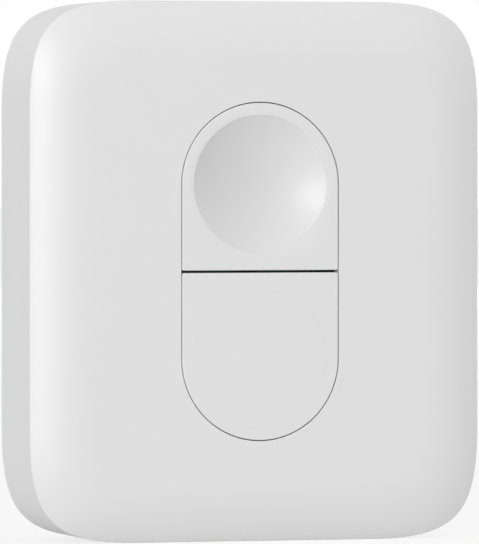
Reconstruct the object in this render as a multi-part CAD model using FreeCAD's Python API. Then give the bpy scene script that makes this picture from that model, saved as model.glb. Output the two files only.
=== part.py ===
import FreeCAD, Part
import math
import os

from FreeCAD import Vector

# A small infrared and radio remote: a soft-cornered white case with a crowned face, a pill-shaped
# key field split into two keys, and a coin cell behind a round door at the back.
# It stands upright: X to the right, Y from front to back, Z up, origin under its middle. Millimetres.

# Case
case_width = 37.2
case_height = 43.0
corner_reach = 8.8
corner_radius = 5.2
corner_ease_angle = 10.0
crown_height = 1.34
crown_run = 4.6
wall = 1.5
wall_corner_shrink = 1.44
front_wall = 1.4
rim_bevel = 0.35
cover_thickness = 1.66
cover_inset = 0.7
cover_bevel = 0.8

# Keys
key_field_width = 12.92
key_field_straight = 13.91
key_gap = 0.08
key_split = 0.2
key_stop_gap = 0.03
key_flange = 0.65
key_flange_reach = 0.8
key_wall = 1.1
key_travel = 0.25
dish_radius = 5.5
dish_depth = 1.65
dish_wall = 0.8
plunger_width = 2.4
plunger_length = 0.52

# Key switches
switch_width = 4.5
switch_base_height = 0.9
stem_spare = 0.2
switch_floor = 0.25
switch_cover_sheet = 0.1
flap_width = 2.7
stem_radius = 1.0
stem_gap = 0.06
dome_radius = 1.55
dome_rise = 0.33
dome_sheet = 0.07
terminal_width = 0.6
terminal_reach = 0.7
terminal_sheet = 0.15

# Circuit board
board_thickness = 0.8
board_gap = 0.25
board_screw_radius = 0.8
board_screw_head_radius = 1.3
board_screw_head = 0.8
board_screw_grip = 1.6
board_screw_x = 9.0
board_screw_from_wall = 3.2
pillar_wall = 0.8
rib_thickness = 1.0
rib_reach = 1.0
rib_offset = 10.0
rib_offset_across = 3.5

# Coin cell and its contacts
cell_diameter = 24.5
cell_height = 5.0
can_sheet = 0.3
cell_crimp = 0.45
cap_step = 1.4
cap_thickness = 1.0
contact_height = 0.75
contact_sheet = 0.15
contact_width = 3.0
bow_half_length = 4.0
contact_foot = 1.6
side_contact_width = 4.0
side_contact_height = 3.2
side_contact_foot = 1.8
side_contact_turn = 225.0
touch_gap = 0.02

# Battery holder
holder_gap = 0.25
holder_wall = 0.8
holder_shelf = 0.9
holder_shelf_width = 5.0
holder_shelf_turns = (0.0, 120.0, 270.0)
holder_slot_gap = 0.3
holder_tab_width = 2.0
holder_tab_turns = (120.0, 300.0)
finger_notch = 8.0
finger_notch_depth = 2.4

# Battery door
door_thickness = 1.35
door_rim = 0.78
door_rim_reach = 1.6
door_gap = 0.12
door_seat = 0.8
door_neck_gap = 0.2
door_neck_wall = 0.45
door_lug_reach = 1.0
door_lug_height = 0.68
door_lug_gap = 0.04
door_lug_count = 3
door_lug_angle = 24.0
door_turn = 35.0
door_stop_angle = 4.0
door_play_angle = 1.0
cell_seat_gap = 0.05
coin_slot_length = 15.0
coin_slot_width = 1.8
coin_slot_depth = 0.75
mark_width = 0.45
mark_length = 1.3
mark_depth = 0.2
mark_from_rim = 1.1
mark_turn = -90.0

# Screw recess and fits
recess_width = 0.4
recess_length = 1.6
recess_depth = 0.45
fit_gap = 0.05
thread_gap = 0.02

# Cover lip and snap hooks
lip_gap = 0.12
lip_thickness = 1.0
lip_height = 1.14
hook_reach = 0.45
hook_height = 0.6
hook_land = 0.2
hook_length = 3.0
hook_offset = 6.0

# Infrared emitter and window
emitter_radius = 1.5
emitter_flange_radius = 1.9
emitter_flange = 0.8
emitter_length = 4.7
emitter_dome = 0.8
lead_width = 0.5
lead_pitch = 2.54
lead_drop = 0.55
lead_stub = 0.3
window_width = 6.0
window_depth = 2.6
window_flange = 0.5
window_flange_reach = 0.6
emitter_gap = 0.2
emitter_room = 1.3

# Parts on the board's front: width, height, thickness
chip_size = (5.0, 5.0, 0.85)
crystal_size = (3.2, 2.5, 0.7)
antenna_size = (2.0, 6.0, 1.1)
led_size = (1.6, 0.8, 0.5)
driver_size = (2.9, 1.3, 0.95)
capacitor_size = (1.0, 0.6, 0.5)
resistor_size = (1.0, 0.6, 0.35)
chip_from_side = 5.05
chip_z = 7.0
crystal_z = 2.6
antenna_from_side = 4.45
antenna_z = 9.0
driver_x = 4.5
driver_from_edge = 2.6
capacitor_count = 5
resistor_count = 4
small_part_pitch = 1.3
small_part_z = 7.0

# Depths, from the front plane to the back plane
switch_height = switch_base_height + switch_cover_sheet + key_travel + stem_spare
flange_back = front_wall + key_stop_gap + key_flange
stem_top = flange_back + plunger_length
board_front_depth = stem_top + switch_height
board_back_depth = board_front_depth + board_thickness
cell_front_depth = board_back_depth + contact_height
cell_back_depth = cell_front_depth + cell_height
door_inner_depth = cell_back_depth + cell_seat_gap
case_depth = door_inner_depth + door_thickness

front = -case_depth / 2
back = case_depth / 2
crease = front + crown_height
rim = back - cover_thickness
inner_front = front + front_wall
board_front = front + board_front_depth
board_back = front + board_back_depth
cell_front = front + cell_front_depth
cell_back = front + cell_back_depth
door_inner = front + door_inner_depth
door_ledge = back - door_seat
middle = case_height / 2

# Radii about the cell's axis
cell_radius = cell_diameter / 2
cap_radius = cell_radius - can_sheet - cap_step
holder_inner = cell_radius + holder_gap
holder_outer = holder_inner + holder_wall
neck_inner = cell_radius + door_neck_gap
neck_outer = neck_inner + door_neck_wall
opening_radius = neck_outer + door_gap
lug_radius = neck_outer + door_lug_reach
door_radius = neck_outer + door_rim_reach
lug_top = rim - door_lug_gap
lug_bottom = lug_top - door_lug_height
holder_top = lug_bottom - holder_gap

# Places across the face
key_radius = key_field_width / 2
key_centre = key_field_straight / 2
board_half_width = case_width / 2 - wall - board_gap
board_half_height = case_height / 2 - wall - board_gap
board_screw_z = middle - wall - board_screw_from_wall
chip_x = board_half_width - chip_from_side
antenna_x = board_half_width - antenna_from_side
emitter_depth = board_back + emitter_flange_radius + fit_gap
window_bottom = case_height - wall - window_flange
emitter_top = window_bottom - emitter_gap
emitter_bottom = emitter_top - emitter_length
cell_axis = emitter_bottom - emitter_room - holder_outer
cell_place = cell_axis - middle
quadrants = ((1, 1), (-1, 1), (-1, -1), (1, -1))


def corner_shape():
    """Control points and weights of a soft corner of reach 1: a tight arc between two wide ones.

    Each point is (distance from the end, distance from the side), from the side to the end.
    """
    ease = math.radians(corner_ease_angle)
    turn = math.pi / 2 - 2 * ease
    across, along = math.sin(ease), math.cos(ease)
    tight = corner_radius / corner_reach
    wide = (1 - tight * (along - across)) / (1 + across - along)
    start = (1 - wide * math.tan(ease / 2), 0.0)
    joint = (1 - wide * across, wide * (1 - along))
    peak = joint[1] + tight * math.tan(turn / 2) * across
    points = [(1.0, 0.0), start, joint, (peak, peak), joint[::-1], start[::-1], (0.0, 1.0)]
    wide_weight, tight_weight = math.cos(ease / 2), math.cos(turn / 2)
    return points, [1, wide_weight, 1, tight_weight, 1, wide_weight, 1]


def corner_poles(half_width, half_height, reach):
    """Seven control points (x, z) for each soft corner, in order round the outline."""
    points = corner_shape()[0]
    corners = []
    for side, end in quadrants:
        poles = [(side * (half_width - b * reach), end * (half_height - a * reach))
                 for a, b in points]
        corners.append(poles if side == end else poles[::-1])
    return corners


def outline(half_width, half_height, reach, y):
    """A closed wire at depth y: four straight sides joined by corners of three arcs each."""
    weights = corner_shape()[1]
    corners = corner_poles(half_width, half_height, reach)
    edges = []
    for number, poles in enumerate(corners):
        points = [Vector(x, y, middle + z) for x, z in poles]
        for first in (0, 2, 4):
            start, pull, end = points[first:first + 3]
            weight = weights[first + 1]
            crest = (start + pull * (2 * weight) + end) / (2 + 2 * weight)
            edges.append(Part.Arc(start, crest, end).toShape())
        x, z = corners[(number + 1) % 4][0]
        edges.append(Part.makeLine(points[-1], Vector(x, y, middle + z)))
    return Part.Wire(edges)


def case_prism(inset, y_from, y_to):
    """A straight prism with the case's outline moved inward by inset."""
    reach = corner_reach - wall_corner_shrink * inset
    wire = outline(case_width / 2 - inset, case_height / 2 - inset, reach, y_from)
    return Part.Face(wire).extrude(Vector(0, y_to - y_from, 0))


def disc(radius, y_from, y_to, x=0.0, z=0.0):
    """A round solid along the depth, at (x, z) from the middle of the case."""
    base = Vector(x, min(y_from, y_to), middle + z)
    return Part.makeCylinder(radius, abs(y_to - y_from), base, Vector(0, 1, 0))


def cell_disc(radius, y_from, y_to):
    """A round solid on the cell's axis."""
    return disc(radius, y_from, y_to, 0.0, cell_place)


def ring(outer, inner, y_from, y_to):
    """A ring about the cell's axis."""
    return cell_disc(outer, y_from, y_to).cut(cell_disc(inner, y_from, y_to))


def block(width, y_from, y_to, height, x=0.0, z=0.0):
    """A block centred on (x, z) from the middle of the case."""
    corner = Vector(x - width / 2, min(y_from, y_to), middle + z - height / 2)
    return Part.makeBox(width, abs(y_to - y_from), height, corner)


def radial_block(length, y_from, y_to, width, radius, turn):
    """A block centred at a radius and a turn about the cell's axis, its length outward."""
    return turned(block(length, y_from, y_to, width, radius, cell_place), turn)


def turned(shape, angle):
    """A copy of a shape turned about the cell's axis, the way the door unlocks."""
    copy = shape.copy()
    copy.rotate(Vector(0, 0, cell_axis), Vector(0, 1, 0), angle)
    return copy


def sector(radius, y_from, y_to, angle_from, angle):
    """A wedge about the cell's axis."""
    base = Vector(0, min(y_from, y_to), cell_axis)
    wedge = Part.makeCylinder(radius, abs(y_to - y_from), base, Vector(0, 1, 0), angle)
    return turned(wedge, angle_from)


def pill(half_width, half_straight, low, high):
    """An upright pill-shaped prism between two depths."""
    wire = Part.Wire([
        Part.makeLine(Vector(half_width, low, middle - half_straight),
                      Vector(half_width, low, middle + half_straight)),
        Part.Arc(Vector(half_width, low, middle + half_straight),
                 Vector(0, low, middle + half_straight + half_width),
                 Vector(-half_width, low, middle + half_straight)).toShape(),
        Part.makeLine(Vector(-half_width, low, middle + half_straight),
                      Vector(-half_width, low, middle - half_straight)),
        Part.Arc(Vector(-half_width, low, middle - half_straight),
                 Vector(0, low, middle - half_straight - half_width),
                 Vector(half_width, low, middle - half_straight)).toShape(),
    ])
    return Part.Face(wire).extrude(Vector(0, high - low, 0))


def fused(shapes):
    """Join shapes into one solid with no seams left on shared faces."""
    return shapes[0].fuse(shapes[1:]).removeSplitter()


def crown_section(start, inward):
    """The crown's section as one arc, from a point on the crease to the flat face it joins."""
    radius = (crown_run ** 2 + crown_height ** 2) / (2 * crown_height)
    sweep = math.asin(crown_run / radius)
    points = []
    for turn in (sweep, sweep / 2, 0.0):
        inset = crown_run - radius * math.sin(turn)
        drop = radius * (1 - math.cos(turn)) - crown_height
        points.append(start + inward * inset + Vector(0, drop, 0))
    return Part.Arc(*points).toShape()


def crown():
    """The shallow crown: its section turned round each arc of the crease and drawn along each side."""
    axis = Vector(0, -1, 0)
    weights = corner_shape()[1]
    corners = corner_poles(case_width / 2, case_height / 2, corner_reach)
    faces = []
    for number, poles in enumerate(corners):
        points = [Vector(x, crease, middle + z) for x, z in poles]
        for first in (0, 2, 4):
            start, pull = points[first:first + 2]
            half_turn = math.acos(weights[first + 1])
            inward = axis.cross((pull - start).normalize())
            centre = start + inward * (start.distanceToPoint(pull) / math.tan(half_turn))
            section = crown_section(start, inward)
            faces.append(section.revolve(centre, axis, math.degrees(2 * half_turn)))
        x, z = corners[(number + 1) % len(corners)][0]
        side = Vector(x, crease, middle + z) - points[-1]
        inward = axis.cross(Vector(side).normalize())
        faces.append(crown_section(points[-1], inward).extrude(side))
    base = outline(case_width / 2, case_height / 2, corner_reach, crease)
    top = base.makeOffset2D(-crown_run)
    top.translate(Vector(0, front - crease, 0))
    shell = Part.makeShell(faces + [Part.Face(top), Part.Face(base)])
    shell.sewShape()
    return Part.makeSolid(shell)


def edges_at(shape, y):
    """The edges that lie wholly at depth y."""
    return [e for e in shape.Edges
            if abs(e.BoundBox.YMin - y) < 1e-4 and abs(e.BoundBox.YMax - y) < 1e-4]


def board_screw_places():
    return [(board_screw_x, board_screw_z), (-board_screw_x, -board_screw_z)]


def window_prism(grow, z_from, z_to):
    """The upright block of the infrared window."""
    width, depth = window_width + 2 * grow, window_depth + 2 * grow
    return Part.makeBox(width, depth, z_to - z_from,
                        Vector(-width / 2, emitter_depth - depth / 2, z_from))


def front_shell():
    """The moulded case front: crowned face, side wall, board pillars and ribs, hook grooves."""
    side = case_prism(0.0, crease, rim)
    side = side.makeChamfer(rim_bevel, edges_at(side, rim))
    body = crown().fuse(side).removeSplitter()
    body = body.cut(case_prism(wall, inner_front, rim + wall))
    pillars = [disc(board_screw_radius + pillar_wall, inner_front, board_front, x, z)
               for x, z in board_screw_places()]
    body = fused([body] + pillars + board_ribs())
    cuts = [pill(key_radius + key_gap, key_centre, front - wall, inner_front + fit_gap),
            window_prism(fit_gap, case_height - 2 * wall, case_height + wall)]
    cuts += [disc(board_screw_radius + thread_gap, board_front - board_screw_grip - fit_gap,
                  board_front, x, z) for x, z in board_screw_places()]
    return body.cut(cuts + snap_hooks(fit_gap))


def snap_hooks(grow):
    """Four wedges that snap under the wall's edge; grown, they are the grooves for them."""
    root = case_width / 2 - wall - lip_gap - (lip_thickness / 2 if grow == 0 else 0.0)
    tip = case_width / 2 - wall - lip_gap + hook_reach + grow
    low = rim - lip_height - grow
    high = rim - lip_height + hook_height + grow
    length = hook_length + 4 * grow
    hooks = []
    for side, end in quadrants:
        corners = [(root, low), (tip - hook_reach, low), (tip, high - hook_land - grow),
                   (tip, high), (root, high), (root, low)]
        z = middle + end * hook_offset - length / 2
        face = Part.Face(Part.makePolygon([Vector(side * x, y, z) for x, y in corners]))
        hooks.append(face.extrude(Vector(0, 0, length)))
    return hooks


def board_ribs():
    """Short ribs on the inside of the walls that the board's front face rests on."""
    half_width = case_width / 2 - wall
    half_height = case_height / 2 - wall
    length = rib_reach + wall / 2
    ribs = []
    for side, end in quadrants:
        x = side * (half_width - rib_reach + length / 2)
        ribs.append(block(length, inner_front, board_front, rib_thickness, x, end * rib_offset))
        z = end * (half_height - rib_reach + length / 2)
        ribs.append(block(rib_thickness, inner_front, board_front, length,
                          side * rib_offset_across, z))
    return ribs


def key_prism(end, grow, y_from, y_to):
    """Half of the key field, the upper half for end 1 and the lower for end -1."""
    whole = pill(key_radius + grow, key_centre, y_from, y_to)
    height = key_centre + key_radius + grow
    half = block(case_width, y_from, y_to, height, 0.0, end * (key_split / 2 + height / 2))
    return whole.common(half)


def key(end, depth_at_plunger):
    """A hollow key cap with a stop flange, and the ribs behind it: a cross plunger and a bar."""
    flange_from = inner_front + key_stop_gap
    flange_to = flange_from + key_flange
    cap = fused([key_prism(end, 0.0, front, flange_to),
                 key_prism(end, key_flange_reach, flange_from, flange_to)])
    pocket = key_prism(end, -key_wall, front + key_wall, flange_to)
    pocket = pocket.cut(block(case_width, front, flange_to, 2 * key_wall, 0.0, 0.0))
    cap = cap.cut(pocket)
    width, thickness = plunger_width, plunger_width / 3
    start, z = front + depth_at_plunger, end * key_centre
    ribs = [block(width, start, front + stem_top, thickness, 0.0, z),
            block(thickness, start, front + stem_top, width, 0.0, z),
            block(2 * key_radius - key_wall, front + key_wall / 2, flange_to, key_wall / 2,
                  0.0, z)]
    return cap, ribs


def upper_button():
    """The upper key, with a round thumb dish backed by a skin of even thickness."""
    cap, ribs = key(1, dish_depth + dish_wall / 2)
    ball_radius = (dish_radius ** 2 + dish_depth ** 2) / (2 * dish_depth)
    centre = Vector(0, front + dish_depth - ball_radius, middle + key_centre)
    plug = disc(dish_radius, front + key_wall / 2, front + stem_top, 0.0, key_centre)
    skin = Part.makeSphere(ball_radius + dish_wall, centre).common(plug)
    cap = fused([cap, skin] + ribs)
    return cap.cut(Part.makeSphere(ball_radius, centre))


def lower_button():
    """The lower key, flat on its face."""
    cap, ribs = key(-1, key_wall / 2)
    return fused([cap] + ribs)


def switch_base(end):
    """The moulded body of a key switch, open to the front over a round well."""
    z = end * key_centre
    body = block(switch_width, board_front - switch_base_height, board_front,
                 switch_width, 0.0, z)
    well = disc(dome_radius + stem_gap, board_front - switch_base_height,
                board_front - switch_floor, 0.0, z)
    return body.cut(well)


def switch_cover(end):
    """The folded sheet cover of a key switch, with a round hole for the stem."""
    z = end * key_centre
    top = board_front - switch_base_height
    sheet = switch_cover_sheet
    plate = block(switch_width, top - sheet, top, switch_width, 0.0, z)
    bridge = block(switch_width + 2 * sheet, top - sheet, top, flap_width, 0.0, z)
    flaps = [block(sheet, top - sheet, board_front - sheet, flap_width,
                   side * (switch_width + sheet) / 2, z) for side in (-1, 1)]
    hole = disc(stem_radius + stem_gap, top - sheet, top, 0.0, z)
    return fused([plate, bridge] + flaps).cut(hole)


def switch_dome(end):
    """The snap dome: a thin spherical cap that rests on the switch's floor."""
    radius = (dome_radius ** 2 + dome_rise ** 2) / (2 * dome_rise)
    floor = board_front - switch_floor
    centre = Vector(0, floor - dome_rise + radius, middle + end * key_centre)
    shell = Part.makeSphere(radius, centre).cut(Part.makeSphere(radius - dome_sheet, centre))
    slab = disc(dome_radius, floor - dome_rise, floor, 0.0, end * key_centre)
    return shell.common(slab)


def switch_stem(end):
    """The switch's plunger: a pin through the cover with a flange above the dome."""
    z = end * key_centre
    flange_from = board_front - switch_base_height + stem_gap
    pin = disc(stem_radius, front + stem_top, flange_from, 0.0, z)
    flange = disc(dome_radius - stem_gap, flange_from,
                  board_front - switch_floor - dome_rise, 0.0, z)
    return fused([pin, flange])


def switch_terminals(end):
    """Four flat terminals beside the switch, soldered to the board."""
    pins = []
    for side in (-1, 1):
        for row in (-1, 1):
            z = end * key_centre + row * (switch_width / 2 + terminal_reach / 2)
            x = side * switch_width / 3
            pins.append(block(terminal_width, board_front - terminal_sheet, board_front,
                              terminal_reach, x, z))
    return Part.makeCompound(pins)


def circuit_board():
    """The board, with the cavity's outline and openings for screws, leads and holder tabs."""
    board = case_prism(wall + board_gap, board_front, board_back)
    holes = [disc(board_screw_radius + fit_gap, board_front, board_back, x, z)
             for x, z in board_screw_places()]
    holes += [disc(lead_width, board_front, board_back, x, lead_row() - middle)
              for x in lead_places()]
    return board.cut(holes + holder_tabs(fit_gap))


def board_screws():
    """Two pan-head screws along the depth, heads to the back, each with a cross recess."""
    head_to = board_back + board_screw_head
    screws = []
    for x, z in board_screw_places():
        head = disc(board_screw_head_radius, board_back, head_to, x, z)
        shank = disc(board_screw_radius, board_front - board_screw_grip, board_back, x, z)
        recess = [block(width, head_to - recess_depth, head_to, height, x, z)
                  for width, height in ((recess_width, recess_length),
                                        (recess_length, recess_width))]
        screws.append(fused([head, shank]).cut(recess))
    return Part.makeCompound(screws)


def bayonet(radius_from, radius_to, y_from, y_to, start, angle):
    """Equal ring sectors spaced evenly about the cell's axis."""
    band = ring(radius_to, radius_from, y_from, y_to)
    step = 360.0 / door_lug_count
    return [band.common(sector(radius_to + wall, y_from, y_to, start + number * step, angle))
            for number in range(door_lug_count)]


def rear_cover():
    """The inset back plate: a bevelled plinth, a hooked lip and the door's bayonet seat."""
    plate = case_prism(cover_inset, rim, back)
    plate = plate.makeChamfer(cover_bevel, edges_at(plate, back))
    lip = case_prism(wall + lip_gap, rim - lip_height, rim)
    lip = lip.cut([case_prism(wall + lip_gap + lip_thickness, rim - lip_height, rim),
                   cell_disc(lug_radius + 2 * door_gap, rim - lip_height, rim)])
    stops = [stop for start in (-door_stop_angle - door_play_angle,
                                door_turn + door_lug_angle + door_play_angle)
             for stop in bayonet(opening_radius, lug_radius, lug_bottom, rim,
                                 start, door_stop_angle)]
    cover = fused([plate, lip] + stops + snap_hooks(0.0))
    cuts = [cell_disc(door_radius + door_gap, door_ledge, back + wall),
            cell_disc(opening_radius, lug_bottom - wall, back)]
    cuts += bayonet(opening_radius - wall, lug_radius + door_gap, rim - wall, back,
                    door_turn - door_play_angle, door_lug_angle + 2 * door_play_angle)
    cuts += [turn_mark(door_radius + mark_from_rim, turn) for turn in (0.0, door_turn)]
    return cover.cut(cuts)


def turn_mark(radius, turn):
    """A short radial groove; one on the door meets one of two on the cover."""
    return radial_block(mark_length, back - mark_depth, back + wall, mark_width,
                        radius, mark_turn + turn)


def battery_door():
    """The round door: thin rim on the cover's ledge, neck, bayonet lugs and a coin slot."""
    body = fused([
        cell_disc(door_radius, back - door_rim, back),
        cell_disc(neck_outer, door_inner, back),
        ring(neck_outer, neck_inner, lug_bottom, door_inner),
    ] + bayonet(neck_outer - door_neck_wall / 2, lug_radius, lug_bottom, lug_top,
                0.0, door_lug_angle))
    half = coin_slot_length / 2 - coin_slot_width / 2
    slot = [block(2 * half, back - coin_slot_depth, back, coin_slot_width, 0.0, cell_place)]
    slot += [disc(coin_slot_width / 2, back - coin_slot_depth, back, x, cell_place)
             for x in (-half, half)]
    return body.cut(slot + [turn_mark(door_radius - mark_from_rim, 0.0)])


def battery_holder():
    """The ring that the cell sits in: wall, three shelves, contact slot, notch and two tabs."""
    shelf_top = cell_front + cell_crimp - touch_gap
    inner, outer = cell_radius - holder_shelf, holder_inner + holder_wall / 2
    shelves = [radial_block(outer - inner, board_back, shelf_top, holder_shelf_width,
                            (inner + outer) / 2, turn) for turn in holder_shelf_turns]
    body = fused([ring(holder_outer, holder_inner, board_back, holder_top)] + shelves)
    slot = radial_block(3 * holder_shelf + 2 * holder_wall, board_back, holder_top,
                        side_contact_width + 2 * holder_slot_gap, holder_inner,
                        side_contact_turn)
    notch = block(finger_notch, holder_top - finger_notch_depth, holder_top,
                  2 * (holder_wall + holder_gap), 0.0, cell_place - holder_inner)
    return fused([body.cut([slot, notch])] + holder_tabs(0.0))


def holder_tabs(grow):
    """Two tabs through the board under the holder's wall; grown, they are the slots for them."""
    return [radial_block(holder_wall + 2 * grow, board_front, board_back,
                         holder_tab_width + 2 * grow, holder_inner + holder_wall / 2, turn)
            for turn in holder_tab_turns]


def negative_contact():
    """A sprung bow between two feet; its crown touches the cell's cap."""
    foot_end = bow_half_length + contact_foot
    low, high = board_back, board_back + contact_sheet
    crown_y = cell_front - touch_gap

    def bow(y_foot, y_crown):
        return Part.Arc(Vector(-bow_half_length, y_foot, cell_axis),
                        Vector(0, y_crown, cell_axis),
                        Vector(bow_half_length, y_foot, cell_axis)).toShape()

    def foot(x_from, x_to, y):
        return Part.makeLine(Vector(x_from, y, cell_axis), Vector(x_to, y, cell_axis))

    wire = Part.Wire([
        foot(-foot_end, -bow_half_length, high),
        bow(high, crown_y),
        foot(bow_half_length, foot_end, high),
        Part.makeLine(Vector(foot_end, high, cell_axis), Vector(foot_end, low, cell_axis)),
        foot(foot_end, bow_half_length, low),
        bow(low, crown_y - contact_sheet),
        foot(-bow_half_length, -foot_end, low),
        Part.makeLine(Vector(-foot_end, low, cell_axis), Vector(-foot_end, high, cell_axis)),
    ])
    strip = Part.Face(wire).extrude(Vector(0, 0, contact_width))
    strip.translate(Vector(0, 0, -contact_width / 2))
    return strip


def positive_contact():
    """An upright strip that touches the cell's side through the holder's slot."""
    inner = cell_radius + touch_gap
    upright = radial_block(contact_sheet, board_back, board_back + side_contact_height,
                           side_contact_width, inner + contact_sheet / 2, side_contact_turn)
    foot = radial_block(side_contact_foot, board_back, board_back + contact_sheet,
                        side_contact_width, inner + side_contact_foot / 2, side_contact_turn)
    return fused([upright, foot])


def cell_can():
    """The sealed cell's can: flat to the back, its edge standing round the gasket in front."""
    outer = cell_disc(cell_radius, cell_front + cell_crimp, cell_back)
    return outer.cut(cell_disc(cell_radius - can_sheet, cell_front, cell_front + cap_thickness))


def cell_gasket():
    """The ring that keeps the can and the cap apart."""
    return ring(cell_radius - can_sheet, cap_radius, cell_front + cell_crimp,
                cell_front + cap_thickness)


def cell_cap():
    """The cell's cap, whose flat face meets the bow contact."""
    return cell_disc(cap_radius, cell_front, cell_front + cap_thickness)


def lead_places():
    return (-lead_pitch / 2, lead_pitch / 2)


def lead_row():
    return emitter_bottom - lead_drop


def ir_emitter():
    """A round emitter lying along the board, its domed end under the window."""
    straight = emitter_length - emitter_dome
    lens_radius = (emitter_radius ** 2 + emitter_dome ** 2) / (2 * emitter_dome)
    base = Vector(0, emitter_depth, emitter_bottom)
    shoulder = base + Vector(0, 0, straight)
    flange = Part.makeCylinder(emitter_flange_radius, emitter_flange, base)
    body = Part.makeCylinder(emitter_radius, straight, base)
    lens_centre = base + Vector(0, 0, emitter_length - lens_radius)
    lens = Part.makeSphere(lens_radius, lens_centre, Vector(0, 1, 0))
    lens = lens.common(Part.makeCylinder(emitter_radius, emitter_dome, shoulder))
    return fused([flange, body, lens])


def ir_emitter_leads():
    """Two bent leads from the emitter down through the board."""
    leads = []
    for x in lead_places():
        z = lead_row() - middle
        down = block(lead_width, emitter_depth - lead_width / 2, emitter_depth + lead_width / 2,
                     emitter_bottom - lead_row() + lead_width / 2, x,
                     z + (emitter_bottom - lead_row() - lead_width / 2) / 2)
        across = block(lead_width, board_front - lead_stub, emitter_depth + lead_width / 2,
                       lead_width, x, z)
        leads.append(fused([down, across]))
    return Part.makeCompound(leads)


def ir_window():
    """The flush insert in the top wall, held by a flange inside."""
    plug = window_prism(0.0, window_bottom, case_height)
    flange = window_prism(window_flange_reach, window_bottom, case_height - wall)
    return fused([plug, flange])


def on_board(size, x, z):
    """A small component on the board's front."""
    width, height, thickness = size
    return block(width, board_front - thickness, board_front, height, x, z)


def radio_chip():
    return on_board(chip_size, chip_x, chip_z)


def radio_crystal():
    return on_board(crystal_size, chip_x, crystal_z)


def chip_antenna():
    return on_board(antenna_size, -antenna_x, antenna_z)


def status_led():
    return on_board(led_size, 0.0, 0.0)


def ir_driver():
    """The emitter's transistor near the board's top edge."""
    return on_board(driver_size, -driver_x, board_half_height - driver_from_edge)


def small_parts(size, count, x):
    """A column of equal chip components, downward from below the middle."""
    return Part.makeCompound([
        on_board(size, x, -small_part_z + number * small_part_pitch)
        for number in range(count)])


def chip_capacitors():
    return small_parts(capacitor_size, capacitor_count, chip_x)


def chip_resistors():
    return small_parts(resistor_size, resistor_count, -antenna_x)


pieces = {
    "front_shell": front_shell,
    "rear_cover": rear_cover,
    "battery_door": battery_door,
    "upper_button": upper_button,
    "lower_button": lower_button,
    "circuit_board": circuit_board,
    "board_screws": board_screws,
    "battery_holder": battery_holder,
    "negative_contact": negative_contact,
    "positive_contact": positive_contact,
    "cell_can": cell_can,
    "cell_gasket": cell_gasket,
    "cell_cap": cell_cap,
    "ir_emitter": ir_emitter,
    "ir_emitter_leads": ir_emitter_leads,
    "ir_window": ir_window,
    "ir_driver": ir_driver,
    "radio_chip": radio_chip,
    "radio_crystal": radio_crystal,
    "chip_antenna": chip_antenna,
    "status_led": status_led,
    "chip_capacitors": chip_capacitors,
    "chip_resistors": chip_resistors,
}
switch_pieces = {
    "base": switch_base,
    "cover": switch_cover,
    "dome": switch_dome,
    "stem": switch_stem,
    "terminals": switch_terminals,
}


def save(name, shape):
    shape.exportStep("parts/" + name + ".step")
    box = shape.BoundBox
    print(f"{name}: solids {len(shape.Solids)}, valid {shape.isValid()}, "
          f"volume {shape.Volume:.2f}, x {box.XMin:.2f} {box.XMax:.2f}, "
          f"y {box.YMin:.2f} {box.YMax:.2f}, z {box.ZMin:.2f} {box.ZMax:.2f}")


def main():
    os.makedirs("parts", exist_ok=True)
    for name, make in pieces.items():
        save(name, make())
    for place, end in (("upper", 1), ("lower", -1)):
        for name, make in switch_pieces.items():
            save(place + "_switch_" + name, make(end))
    print(f"case {case_width:.2f} x {case_depth:.2f} x {case_height:.2f} mm")


main()
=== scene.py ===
import math

import bpy
import numpy as np
from bpy.props import FloatProperty, FloatVectorProperty, PointerProperty
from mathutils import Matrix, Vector


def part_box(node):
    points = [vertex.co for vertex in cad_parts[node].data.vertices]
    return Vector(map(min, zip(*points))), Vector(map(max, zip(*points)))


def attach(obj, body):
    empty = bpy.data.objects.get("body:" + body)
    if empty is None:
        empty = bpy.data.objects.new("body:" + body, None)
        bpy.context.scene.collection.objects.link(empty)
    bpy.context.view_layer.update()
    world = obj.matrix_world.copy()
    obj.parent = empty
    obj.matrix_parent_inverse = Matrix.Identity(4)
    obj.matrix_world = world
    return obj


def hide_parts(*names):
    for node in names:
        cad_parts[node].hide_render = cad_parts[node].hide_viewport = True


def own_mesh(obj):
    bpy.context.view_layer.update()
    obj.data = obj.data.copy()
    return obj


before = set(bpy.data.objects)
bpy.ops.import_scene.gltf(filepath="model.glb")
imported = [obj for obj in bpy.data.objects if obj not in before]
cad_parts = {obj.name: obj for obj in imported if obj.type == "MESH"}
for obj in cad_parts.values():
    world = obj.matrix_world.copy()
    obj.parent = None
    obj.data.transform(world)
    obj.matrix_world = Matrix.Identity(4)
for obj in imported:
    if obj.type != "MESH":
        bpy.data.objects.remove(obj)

# A small white remote: crowned front, two keys in a pill-shaped field, round battery door behind.
# Metres. X to the right, Y from front to back, Z up, origin under the middle of the case.

bl_info = {
    "name": "Small Remote Studio",
    "version": (1, 0, 0),
    "blender": (4, 5, 0),
    "location": "3D View > Sidebar > Remote",
    "description": "Dresses a small two-key remote over its CAD frame and lights it",
    "category": "Object",
}

MM = 0.001

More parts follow.
